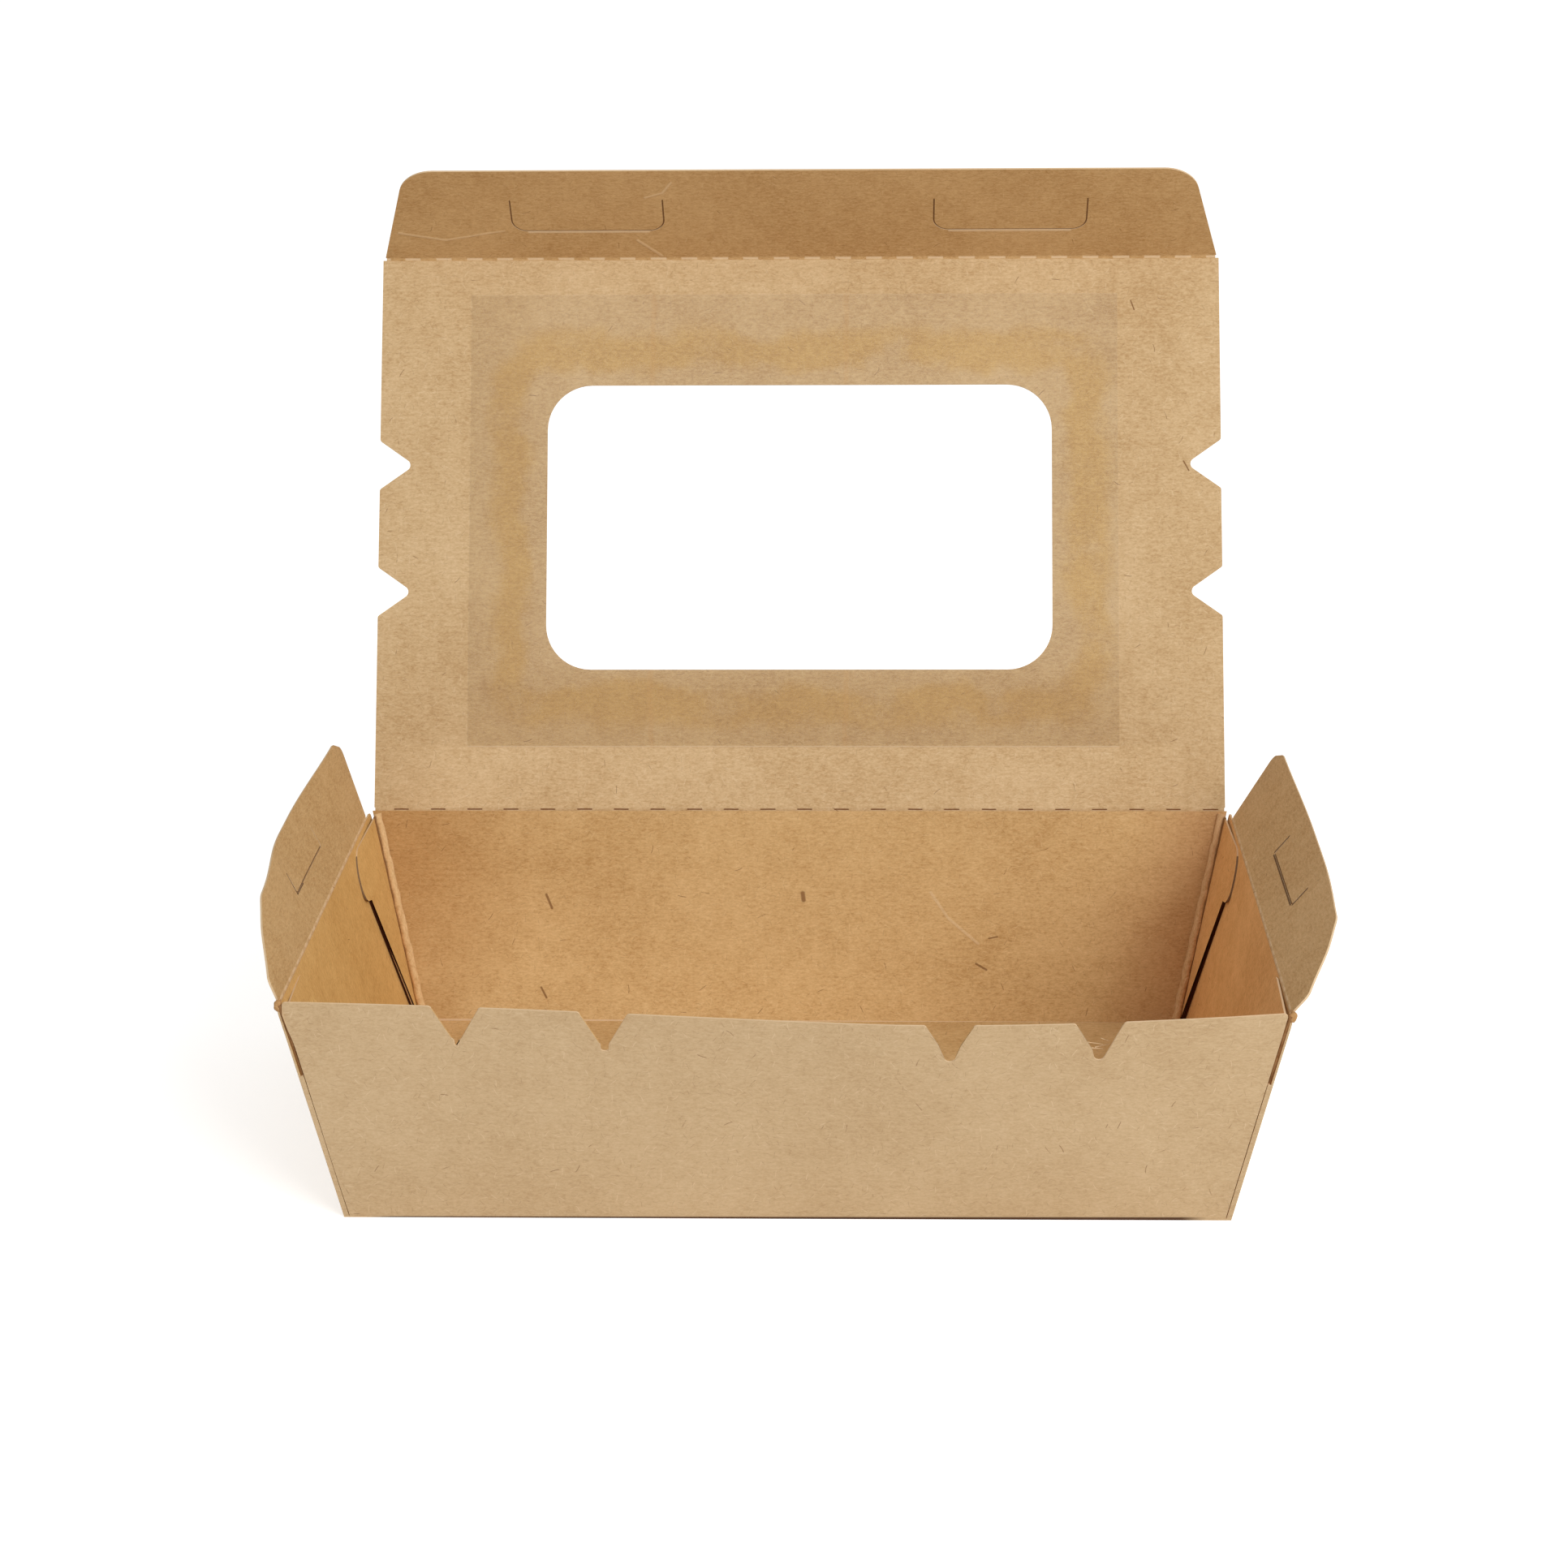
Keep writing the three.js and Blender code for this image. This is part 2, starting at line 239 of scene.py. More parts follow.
def strokes(finish, place, marks):
    whole = None
    for start, end, width in marks:
        one = stroke(finish, place, start, end, width)
        whole = one if whole is None else whole.math("MAXIMUM", one)
    return whole


def kraftFinish(name, shades=(), tint=(1.0, 1.0, 1.0)):
    finish = Finish(name)
    uv = finish.add("ShaderNodeUVMap", {"uv_map": "sheet"})
    sheet = finish.stretched(uv, (1000.0, 1000.0, 0.0))  # millimetres, the grain along X
    clouds = finish.noise(sheet, kraft["cloudScale"], 2.0)
    mottle = finish.noise(sheet, kraft["mottleScale"], 3.0, 0.6)
    grain = finish.noise(finish.stretched(sheet, kraft["grainStretch"]), 1.0, 3.0, 0.65)
    fine = finish.noise(finish.stretched(sheet, kraft["fineStretch"]), 1.0, 2.0, 0.6)
    tone = clouds * 0.45 + mottle * 0.4 + grain * 0.8 + fine * 0.65
    stops = [(0.385, kraft["dark"]), (0.5, kraft["middle"]), (0.615, kraft["light"])]
    colour = finish.add("ShaderNodeValToRGB", {"stops": stops}, [tone / 2.3])
    outer = finish.attribute("outerFace")
    colour = finish.mix(outer * 0.4, colour, (*kraft["outer"], 1))
    darkFibres = fibres(finish, sheet, *kraft["darkFibres"])
    fineFibres = fibres(finish, sheet, *kraft["fineFibres"])
    lightFibres = fibres(finish, sheet, *kraft["lightFibres"])
    colour = finish.mix(lightFibres * 0.35, colour, (*kraft["lightFibreAndHighlight"], 1))
    colour = finish.mix(fineFibres * 0.25, colour, (*kraft["darkFibre"], 1))
    colour = finish.mix(darkFibres * mottle.step(0.42, 0.6) * 0.6, colour, (*kraft["darkFibre"], 1))
    height = grain * 0.7 + fine * 0.5 + mottle * 0.5 + lightFibres * 0.3
    colour = finish.mix(1.0, colour, (*tint, 1), "MULTIPLY")
    for shade in shades:
        colour, height = shade(finish, sheet, colour, height)
    cut = finish.attribute("cutFace")
    # cut edges lighter: their raw colour with a painted highlight
    colour = finish.mix(cut.math("MINIMUM", 1.0) * 0.75, colour, (*kraft["rawEdgeAndHighlight"], 1))
    # faces marked above 1 take the gap colour: painted shade between layers
    colour = finish.mix((cut - 1.0).math("MAXIMUM", 0.0), colour, (*kraft["gap"], 1))
    finish.set("Base Color", colour)
    finish.set("Roughness", kraft["roughness"] + (mottle - 0.5) * 0.12)
    finish.set("Specular IOR Level", kraft["specular"])
    bump = {"Strength": kraft["bump"], "Distance": 0.06 * mm, "Height": height}
    finish.set("Normal", finish.add("ShaderNodeBump", {}, bump))
    return finish.material


# Marks in one colour, raised or pressed in by press
def marked(marks, colour, amount, press=0.0, where=None):
    def shade(finish, sheet, under, height):
        lines = strokes(finish, sheet, marks)
        if where:
            lines = lines * where(finish)
        return finish.mix(lines * amount, under, (*colour, 1)), height + lines * press

    return shade


# The film over the board: the glue darkens it, most round the window, in amber blotches
patch = {
    "left": -77.8,
    "right": 75.0,
    "low": 14.6,
    "high": 122.3,
    "windowHalf": (59.5, 33.85),
    "windowMiddle": (0.0, 66.75),
    "tint": (0.91, 0.88, 0.78),
    "glue": (0.97, 0.9, 0.66),
    "soft": 0.15,  # half the width in which the film's edges fade
    "thickGlue": (0.92, 0.88, 0.78),  # at the left and along the bottom
    "thickLeft": (-68.0, -58.0),
    "thickLow": (26.0, 38.0),
    "bare": (1.08, 1.1, 1.12),  # between the film and the fold
    "bareHigh": (14.0, 16.0),
    "bareHalf": (78.0, 96.0),
    "amber": srgb(196, 148, 84),
    "lines": (-34.5, 11.0),
}


def filmPatch(finish, sheet, colour, height):
    x, y = (finish.add("ShaderNodeSeparateXYZ", {}, [sheet], out=i) for i in range(2))
    sides = [patch[side] for side in ("left", "right", "low", "high")]
    left, right, low, high = ((side - patch["soft"], side + patch["soft"]) for side in sides)
    inner = 1 - finish.attribute("outerFace")
    onFilm = x.step(*left) * (1 - x.step(*right)) * y.step(*low) * (1 - y.step(*high)) * inner
    fromX = ((x - patch["windowMiddle"][0]).math("ABSOLUTE") - patch["windowHalf"][0]).math("MAXIMUM", 0.0)
    fromY = ((y - patch["windowMiddle"][1]).math("ABSOLUTE") - patch["windowHalf"][1]).math("MAXIMUM", 0.0)
    away = (fromX * fromX + fromY * fromY).math("SQRT")
    blotch = finish.noise(sheet, 0.06, 3.0, 0.55)
    wander = away + (blotch - 0.5) * 16
    ring = wander.step(2.5, 6.5) * (1 - wander.step(10.5, 15.5))
    colour = finish.mix(onFilm, colour, (*patch["tint"], 1), "MULTIPLY")
    colour = finish.mix(onFilm * ring * blotch.step(0.25, 0.5), colour, (*patch["glue"], 1), "MULTIPLY")
    thick = (1 - y.step(*patch["thickLow"])).math("MAXIMUM", (1 - x.step(*patch["thickLeft"])) * 0.6)
    colour = finish.mix(onFilm * thick, colour, (*patch["thickGlue"], 1), "MULTIPLY")
    bare = (1 - y.step(*patch["bareHigh"])) * (1 - x.math("ABSOLUTE").step(*patch["bareHalf"])) * inner
    colour = finish.mix(bare, colour, (*patch["bare"], 1), "MULTIPLY")
    for place in patch["lines"]:
        line = 1 - (x - place + (blotch - 0.5) * 3).math("ABSOLUTE").step(0.2, 0.9)
        colour = finish.mix(onFilm * line * 0.22, colour, (*patch["amber"], 1))
    edge = 1 - (y - patch["low"]).math("ABSOLUTE").step(0.1, 0.4)
    colour = finish.mix(onFilm * edge * 0.5, colour, (*kraft["lightFibreAndHighlight"], 1))
    return colour, height + onFilm * edge * 2.0


# Painted light and shade inside the tray: all inner faces tinted browner, painted shade darkening the back
# wall towards its corners, and each end wall painted as it is lit, the left one yellower, the right one
# lighter
inside = {
    "all": (1.02, 0.98, 0.83),
    # the end walls' tints: painted light and shade, each wall as it is lit
    "leftEnd": (1.02, 0.95, 0.74),
    "rightEnd": (1.24, 1.08, 0.98),
    # painted shade in the back wall's corners
    "leftCorner": (0.80, 0.70, 0.60),
    "leftFade": (50.0, 92.0),  # from the middle, in millimetres
    "rightCorner": (0.87, 0.75, 0.73),
    "rightFade": (74.0, 106.0),
    "specks": [  # across the back wall, and up it
        ((-59.2, 30.4), (-57.9, 27.2), 0.4),
        ((-60.6, 8.4), (-59.4, 6.0), 0.34),
        ((1.0, 30.8), (1.2, 29.2), 0.7),
        ((41.6, 14.2), (44.0, 12.8), 0.36),
        ((44.6, 20.2), (46.6, 20.6), 0.26),
    ],
    "scuffs": [((31.0, 31.0), (35.0, 25.0), 0.45), ((35.0, 25.0), (42.0, 19.0), 0.45)],
    "backShift": 200.0,  # where the back wall's inner face lies on the sheet
    "footShadow": (0.35, 0.65),  # the painted contact shadow under the front wall fades out between these heights
}


def onBack(marks):
    shift = inside["backShift"]
    return [((x0, y0 + shift), (x1, y1 + shift), width) for (x0, y0), (x1, y1), width in marks]


def onBackWall(finish):
    place = finish.add("ShaderNodeTexCoord", {}, out=3)
    y = finish.add("ShaderNodeSeparateXYZ", {}, [place], out=1)
    return y.step(0.045, 0.05) * (1 - finish.attribute("outerFace"))


def trayInside(finish, sheet, colour, height):
    place = finish.stretched(finish.add("ShaderNodeTexCoord", {}, out=3), (1000.0, 1000.0, 1000.0))
    x, y, z = (finish.add("ShaderNodeSeparateXYZ", {}, [place], out=i) for i in range(3))
    inner = 1 - finish.attribute("outerFace")
    wobble = (finish.noise(place, 0.06, 3.0) - 0.5) * 26
    back = (y - z * flare).step(55.2, 55.65)
    colour = finish.mix(inner, colour, (*inside["all"], 1), "MULTIPLY")
    # end walls painted as each is lit
    ends = inner * (1 - back) * x.math("ABSOLUTE").step(84.0, 87.0)
    colour = finish.mix(ends * (1 - x.step(-1.0, 1.0)), colour, (*inside["leftEnd"], 1), "MULTIPLY")
    colour = finish.mix(ends * x.step(-1.0, 1.0), colour, (*inside["rightEnd"], 1), "MULTIPLY")
    # painted shade towards the back wall's corners
    left = ((x + wobble + (50 - z) * 0.15) * -1).step(*inside["leftFade"])
    colour = finish.mix(inner * back * left, colour, (*inside["leftCorner"], 1), "MULTIPLY")
    right = (x + wobble * 0.6 + (50 - z) * 0.25).step(*inside["rightFade"])
    colour = finish.mix(inner * back * right, colour, (*inside["rightCorner"], 1), "MULTIPLY")
    # painted contact shadow: a dark line along the foot of the front wall
    foot = (1 - inner) * (1 - y.step(-50.0, -49.0)) * (1 - x.math("ABSOLUTE").step(80.0, 87.0))
    foot = foot * (1 - (z - x * 0.003).step(*inside["footShadow"]))
    colour = finish.mix(foot * 0.9, colour, (*kraft["gap"], 1))
    return colour, height


trayShades = [
    trayInside,
    marked(onBack(inside["specks"]), kraft["darkFibre"], 0.75, 1.0, onBackWall),
    marked(onBack(inside["scuffs"]), kraft["lightFibreAndHighlight"], 0.3, 2.0, onBackWall),
]
boardFinish = kraftFinish("kraftBoard", trayShades)
print("finishes made")


# Copies of the board's panels, merged, with the sheet's own coordinates, a mark on cut edges, and a mark on
# faces painted with shade
def freshCopy(node):
    source = frame["nodes"][node]
    piece = bpy.data.objects.new(node + "_board", source.data.copy())
    piece.data.materials.clear()
    bpy.context.collection.objects.link(piece)
    return piece


def mergedMesh(piece):
    mesh = bmesh.new()
    mesh.from_mesh(piece.data)
    bmesh.ops.remove_doubles(mesh, verts=mesh.verts, dist=0.002 * mm)
    shared = [edge for edge in mesh.edges if len(edge.link_faces) == 2]
    flat = [edge for edge in shared if edge.calc_face_angle(1.0) < math.radians(0.05)]
    bmesh.ops.dissolve_edges(mesh, edges=flat, use_verts=False)
    return mesh


def sliced(mesh, axis, places):
    for place in places:
        everything = mesh.verts[:] + mesh.edges[:] + mesh.faces[:]
        bmesh.ops.bisect_plane(mesh, geom=everything, dist=1e-6, plane_co=axis * place, plane_no=axis)


def finishPiece(piece, mesh, material, smoothBelow=12.0):
    mesh.to_mesh(piece.data)
    mesh.free()
    piece.data.materials.append(material)
    piece.data.shade_smooth()
    piece.data.set_sharp_from_angle(angle=math.radians(smoothBelow))


def layers(mesh):
    return (
        mesh.loops.layers.uv.new("sheet"),
        mesh.faces.layers.float.new("outerFace"),
        mesh.faces.layers.float.new("cutFace"),
    )


def smooth(value, low, high):
    t = min(max((value - low) / (high - low), 0), 1)
    return t * t * (3 - 2 * t)


# The side flaps stand straighter at their ends than in their middle, and their front shoulders are rounded.
# Places are in millimetres along the fold, and up from it. A turn has its degrees, its end (the front is -1),
# and the places from which and to which it grows.
flapBend = {
    "left": [(7.0, -1, 4.0, 38.0), (7.5, 1, 8.0, 62.0)],
    "right": [(5.0, 1, 8.0, 62.0)],
    "slice": 2.5,
    "forward": 6.2,  # the shoulder's place, moved towards the front
    "forwardAlong": (17.0, 36.0),
    "forwardUp": (4.0, 17.0),
    "lower": 1.5,  # and down
    "lowerMiddle": -38.0,
    "lowerWidth": 12.0,
    "lowerUp": (8.0, 17.0),
}


def twistOf(side):
    turns = flapBend[side]
    return lambda along: sum(turn * smooth(along * end, low, high) for turn, end, low, high in turns)


def shoulder(along, up):
    move = smooth(-along, *flapBend["forwardAlong"]) * smooth(up, *flapBend["forwardUp"])
    fromMiddle = (along - flapBend["lowerMiddle"]) / flapBend["lowerWidth"]
    rounding = math.exp(-(fromMiddle ** 2)) * smooth(up, *flapBend["lowerUp"])
    return along - flapBend["forward"] * move, up - flapBend["lower"] * rounding


def turnedIn(point, origin, axis, up, inward, angle):
    turn = Matrix.Rotation(math.radians(angle), 3, axis)
    if (turn @ up).dot(inward) < 0:
        turn.transpose()
    return origin + turn @ (point - origin)


# The tray is bent: its front left corner stands higher, and so do the back ends of its end walls, with their
# flaps. The layers inside the front corners stay lower. All in millimetres.
trayBend = {
    "frontLeft": 1.9,
    "backEnds": 1.2,
    "back": 66.0,  # the front's share fades from the front to here
    "depth": 132.0,
    "right": 20.0,  # the left's share fades from the left to here
    "width": 119.0,
    "upWalls": (5.0, 46.0),
    "innerUpTo": (38.0, 47.0),
}


def lifted(point, atEnd=True, inner=False):
    x, y, z = point / mm
    front = min(max((trayBend["back"] - y) / trayBend["depth"], 0), 1)
    lift = trayBend["frontLeft"] * min(max((trayBend["right"] - x) / trayBend["width"], 0), 1) * front
    lift *= 1 - smooth(z, *trayBend["innerUpTo"]) if inner else 1
    lift += trayBend["backEnds"] * (1 - front) if atEnd else 0
    return Vector((point.x, point.y, point.z + lift * smooth(z, *trayBend["upWalls"]) * mm))


def flatPanel(node, body, hinge, material, twist=None):
    piece = freshCopy(node)
    mesh = mergedMesh(piece)
    across = Vector(hinge["axis"])
    across = across if across[0] + across[1] > 0 else -across
    origin = Vector(hinge["pos_m"])
    largest = max(mesh.faces, key=lambda face: face.calc_area())
    normal = largest.normal.copy()
    up = normal.cross(across).normalized()
    middle = sum((vert.co for vert in mesh.verts), Vector()) / len(mesh.verts)
    up = up if (middle - origin).dot(up) > 0 else -up
    inward = normal if (middle - origin).dot(normal) < 0 else -normal
    uv, outer, cut = layers(mesh)
    for face in mesh.faces:
        facing = face.normal.dot(inward)
        face[outer] = 1.0 if facing < -0.7 else 0.0
        face[cut] = 1.0 if abs(facing) < 0.7 else 0.0
        for loop in face.loops:
            place = loop.vert.co - origin
            loop[uv].uv = (place.dot(across), place.dot(up))
    if twist:
        sliced(mesh, across, [step * flapBend["slice"] * mm for step in range(-24, 26)])
        for vert in mesh.verts:
            place = vert.co - origin
            along, height = place.dot(across) / mm, place.dot(up) / mm
            moved = shoulder(along, height)
            vert.co += (across * (moved[0] - along) + up * (moved[1] - height)) * mm
            vert.co = turnedIn(vert.co, origin, across, up, inward, twist(moved[0]))
            vert.co = lifted(vert.co)
    finishPiece(piece, mesh, material)
    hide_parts(node)
    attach(piece, body)
    return across, up, inward


# The corners' glue flaps bend outwards above their webs, and lie on the end walls
glueFlap = {
    "endWall": 90.89,  # its outer face at the bottom, from the middle of the tray
    "backWall": 56.15,
    "corner": (80.0, 34.0),  # the four corners lie beyond these places in X and Y
    "bend": (36.9, 41.0),  # the heights between which it bends
    "slices": (37.7, 38.5, 39.3, 40.1, 41.0),
    "press": 0.66,
    "leftLonger": 1.7,
    "rightLonger": 0.9,
    "nickLower": 1.2,  # at the back
}


def inFromEnd(point):  # millimetres in from an end wall's outer face
    return (glueFlap["endWall"] + flare * point.z / mm - abs(point.x) / mm) * math.cos(math.atan(flare))


def inCorner(face):
    middle = face.calc_center_median()
    return abs(middle.x) > glueFlap["corner"][0] * mm and abs(middle.y) > glueFlap["corner"][1] * mm


def pressGlueFlaps(mesh):
    for side in (-1, 1):
        corners = [face for face in mesh.faces if inCorner(face) and face.calc_center_median().x * side > 0]
        for height in glueFlap["slices"]:
            geometry = corners + list(dict.fromkeys(edge for face in corners for edge in face.edges))
            geometry += dict.fromkeys(vert for face in corners for vert in face.verts)
            plane = {"plane_co": (0, 0, height * mm), "plane_no": (0, 0, 1)}
            cut = bmesh.ops.bisect_plane(mesh, geom=geometry, dist=1e-7, **plane)
            corners = [item for item in cut["geom"] if isinstance(item, bmesh.types.BMFace)]
    for vert in mesh.verts:
        x, y, z = vert.co / mm
        depth = inFromEnd(vert.co)
        if abs(y) < glueFlap["corner"][1] or not 0.5 < depth < 1.8:
            continue
        fromFold = glueFlap["backWall"] + flare * z - abs(y)
        if depth > 1.1:
            out = glueFlap["press"] * smooth(z, *glueFlap["bend"]) * smooth(fromFold, 0.5, 5.0)
            vert.co.x += out * mm * (1 if x > 0 else -1)
        if y > 0 and z > 35:  # the nick hangs lower at the back, and the left flap reaches further
            longer = glueFlap["leftLonger"] if x < 0 else glueFlap["rightLonger"]
            vert.co.y -= longer * smooth(fromFold, 12.0, 22.0) * mm
            lower = glueFlap["nickLower"] * smooth(fromFold, 15.0, 21.0)
            vert.co.z -= lower * (1 - smooth(z, 37.6, 42.0)) * mm


# The front wall's right pair of notches sits nearer the middle than its left pair, and all are a little
# deeper. All in millimetres.
notches = {
    "middles": (-65.2, -35.6, 35.6, 65.2),
    "tipHalf": 2.4,
    "tipLow": 38.3,
    "tipHigh": 41.2,
    "deeper": 1.1,
    "shift": -2.6,  # of the right pair
    "shiftFrom": (8.0, 28.0),
    "shiftTo": (72.0, 94.0),
    "shiftUp": (20.0, 34.0),
}


def notched(point):
    x, y, z = point / mm
    if y > -60 or z < 20:
        return point
    fromTip = min(abs(x - middle) for middle in notches["middles"])
    if fromTip < notches["tipHalf"] and notches["tipLow"] < z < notches["tipHigh"]:
        y, z = y + notches["deeper"] * flare, z - notches["deeper"]
    across = smooth(x, *notches["shiftFrom"]) * (1 - smooth(x, *notches["shiftTo"]))
    x += notches["shift"] * across * smooth(z, *notches["shiftUp"])
    return Vector((x, y, z)) * mm


def trayPiece(material):
    piece = freshCopy("tray")
    mesh = mergedMesh(piece)
    pressGlueFlaps(mesh)
    uv, outer, cut = layers(mesh)
    for face in mesh.faces:
        n = face.normal
        middle = face.calc_center_median()
        flatUp = abs(n.z) > 0.9
        onBottom = flatUp and middle.z < 1 * mm
        alongY = abs(n.x) > abs(n.y) and not flatUp
        outwards = Vector((middle.x, middle.y, 0)).dot(Vector((n.x, n.y, 0))) > 0
        acrossBoard = face.calc_area() / max(edge.calc_length() for edge in face.edges)
        thin = acrossBoard < 0.6 * mm and not (middle.y < -50 * mm and abs(n.y) > 0.8)
        wall = max(abs(n.x), abs(n.y)) > 0.8 and not thin
        face[cut] = 0.0 if onBottom or wall else 1.0
        atWeb = inCorner(face) and max(inFromEnd(vert.co) for vert in face.verts) < 2.2
        facesMiddle = abs(n.x) < 0.7 and n.z < 0.85 and n.y * middle.y < 0
        if atWeb and facesMiddle:  # painted shade: the shaded gap under a glue flap, and a thin shaded line at the flap's own edge
            face[cut] = 2.0 if middle.z < glueFlap["bend"][0] * mm else 1.7
        face[outer] = 1.0 if (outwards and wall) or (onBottom and n.z < 0) else 0.0
        for loop in face.loops:
            x, y, z = loop.vert.co
            if onBottom:
                loop[uv].uv = (x, y)
            elif alongY:  # the end walls' grain runs up and down
                loop[uv].uv = (z * slope + 0.3 * (1 if n.x > 0 else -1), y)
            else:
                loop[uv].uv = (x, z * slope + 0.2 * (1 if y > 0 else -1))
    for vert in mesh.verts:
        vert.co = notched(vert.co)
        depth = inFromEnd(vert.co)
        vert.co = lifted(vert.co, depth < 0.5, 0.5 < depth < 2 and vert.co.z < 48.3 * mm)
    finishPiece(piece, mesh, material)
    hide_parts("tray")
    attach(piece, "tray")


trayPiece(boardFinish)

# Marks on the lid and the flaps, in millimetres across and up from each fold, with painted highlights and
# painted shade, and tints that paint each panel as it is lit
marksAndPaintedLight = {
    "lidSpecks": [((90.4, 82.2), (91.6, 80.0), 0.24), ((78.2, 120.6), (79.0, 118.4), 0.22)],
    "tuckCreases": [
        ((-94.2, 9.1), (-83.4, 6.6), 0.5),
        ((-83.4, 6.6), (-72.6, 9.1), 0.45),
        ((-72.6, 9.1), (-69.4, 9.7), 0.4),
        ((-38.1, 6.3), (-32.7, 0.9), 0.5),
        ((-35.5, 21.0), (-31.5, 22.5), 0.4),
        ((-31.5, 22.5), (-29.3, 26.0), 0.4),
    ],
    # painted highlights along the tongues' raised lower edges
    "tongues": [((-63.5, 9.3), (-35.3, 9.3), 0.45), ((35.3, 9.3), (63.5, 9.3), 0.45)],
    # painted shade: the tuck flap tinted darker and browner as it is lit
    "tuckTint": (0.82, 0.73, 0.58),
    # painted shade along the slits in the side flaps
    "leftSlit": [((-17.0, 12.8), (-17.2, 7.9), 0.4), ((-17.2, 7.9), (-9.0, 7.7), 0.3)],
    "rightSlit": [
        ((-17.2, 12.8), (-17.2, 8.2), 0.45),
        ((-16.4, 7.6), (16.4, 7.6), 0.3),
        ((17.2, 8.2), (17.2, 12.8), 0.45),
    ],
    # painted light and shade: the lid and each side flap tinted as it is lit
    "lidTint": (0.95, 0.97, 0.97),
    "leftTint": (0.87, 0.83, 0.71),
    "rightTint": (0.97, 0.93, 0.84),
}
lidShades = [filmPatch, marked(marksAndPaintedLight["lidSpecks"], kraft["darkFibre"], 0.8)]
lidFinish = kraftFinish("lidBoard", lidShades, marksAndPaintedLight["lidTint"])
tuckShades = [
    marked(marksAndPaintedLight["tuckCreases"], kraft["light"], 0.45, 5.0),
    # painted highlights along the tongues' edges
    marked(marksAndPaintedLight["tongues"], kraft["lightFibreAndHighlight"], 0.5, 2.0),
]
# the tuck flap's tint is painted shade
tuckFinish = kraftFinish("tuckBoard", tuckShades, marksAndPaintedLight["tuckTint"])
lidSide = flatPanel("lid_panel", "lid", joints["lid_fold"], lidFinish)
tuckSide = flatPanel("tuck_flap", "tuck_flap", joints["tuck_fold"], tuckFinish)
flapSides = {}
for side in ("left", "right"):
    node = side + "_side_flap"
    # painted shade along each slit's legs
    shades = [marked(marksAndPaintedLight[side + "Slit"], kraft["gap"], 0.8)]
    # the flap's tint paints its light and shade
    flapFinish = kraftFinish(side + "FlapBoard", shades, marksAndPaintedLight[side + "Tint"])
    joint = joints[side + "_side_fold"]
    flapSides[side] = flatPanel(node, node, joint, flapFinish, twistOf(side))
print("board panels dressed")


# Folds: a strip of board bends from one panel to the next, creased, or cut through in dashes; the cut dashes
# are drawn dark as painted shade, the crease beads' dashes light as painted highlights
folds = {
    "reach": 0.95,  # from the axis into each panel
    "sink": 0.02,
    "thickness": 0.38,
    "round": 0.3,
    "lean": 11.83,  # the walls' own, in degrees
    "lidEnds": (-99.3, 99.3),
    "lidBead": (0.05, 0.0),  # its height, and the share of it that goes up and down along the fold
    "tuckEnds": (-98.2, 98.2),
    "tuckBead": (0.12, 0.5),
    "sideEnds": (-62.4, 59.6),
    "sideBead": (0.06, 0.0),
}


def dashed(period, share, shift, halfWidth, colour, amount, press, outside):
    def shade(finish, sheet, under, height):
        x, y = (finish.add("ShaderNodeSeparateXYZ", {}, [sheet], out=i) for i in range(2))
        wobble = finish.noise(finish.stretched(sheet, (0.25, 0.25, 0)), 1.0, 2.0) - 0.5
        along = ((x - shift + wobble * 0.8) / period).math("FRACT") * period
        dash = along.step(0.0, 0.3) * (1 - along.step(period * share - 0.3, period * share))
        line = dash * (1 - (y + wobble * 0.15).math("ABSOLUTE").step(halfWidth * 0.5, halfWidth))
        line = line * (1 - finish.attribute("outerFace") * (1 - outside))
        return finish.mix(line * amount, under, (*colour, 1)), height + line * press

    return shade


def wallSide(outwards):
    lean = math.radians(folds["lean"])
    up = Vector(outwards) * math.sin(lean) + Vector((0, 0, math.cos(lean)))
    inward = Vector((0, 0, math.sin(lean))) - Vector(outwards) * math.cos(lean)
    return -up, inward


# A flat slab with its face in the XY plane from -1 to 1, and its back at -1 in Z
def slab(xSegments, ySegments):
    mesh = bmesh.new()
    bmesh.ops.create_grid(mesh, x_segments=xSegments, y_segments=ySegments, size=1.0)
    back = bmesh.ops.extrude_face_region(mesh, geom=mesh.faces[:])
    below = [item for item in back["geom"] if isinstance(item, bmesh.types.BMVert)]
    bmesh.ops.translate(mesh, verts=below, vec=(0, 0, -1))
    return mesh


